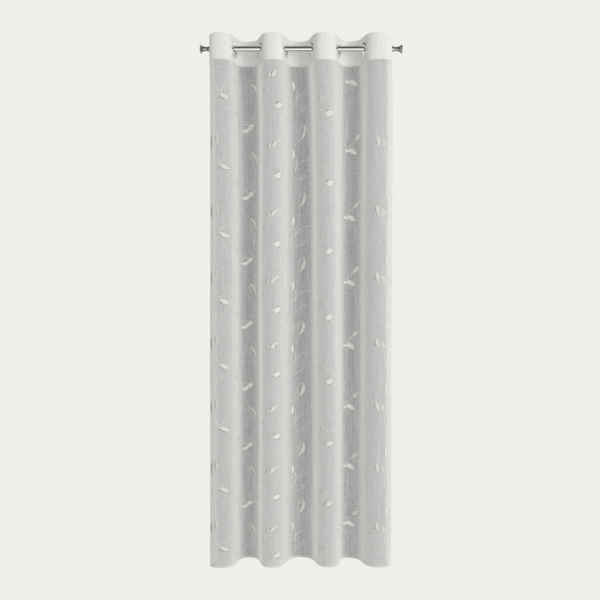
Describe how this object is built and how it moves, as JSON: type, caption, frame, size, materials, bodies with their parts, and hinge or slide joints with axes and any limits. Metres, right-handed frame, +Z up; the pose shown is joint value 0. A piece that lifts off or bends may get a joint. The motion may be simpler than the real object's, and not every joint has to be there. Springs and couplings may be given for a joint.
{
  "type": "sheer voile curtain on a rod",
  "caption": "Sheer leaf-patterned voile curtain with an opaque eyelet heading, hanging in deep soft folds from a metal rod with trumpet finials.",
  "frame": {"origin": "middle of the rod, on its axis", "axes": "+Z up, +X along the rod to the right as seen from the room, -Y towards the room, +Y towards the window"},
  "size_m": [0.9662, 0.1453, 2.5],
  "materials": {
    "voile": "sheer voile, matt, soft sheen at the folds",
    "heading_cloth": "opaque white, matt",
    "eyelet_metal": "polished, bright",
    "rod_metal": "polished, bright"
  },
  "bodies": {
    "root": {"voile_panel": "voile", "heading_band": "heading_cloth", "eyelet_1": "eyelet_metal", "eyelet_2": "eyelet_metal", "eyelet_3": "eyelet_metal", "eyelet_4": "eyelet_metal", "eyelet_5": "eyelet_metal", "eyelet_6": "eyelet_metal", "eyelet_7": "eyelet_metal", "eyelet_8": "eyelet_metal", "rod": "rod_metal", "finial_left": "rod_metal", "finial_right": "rod_metal"}
  },
  "joints": []
}
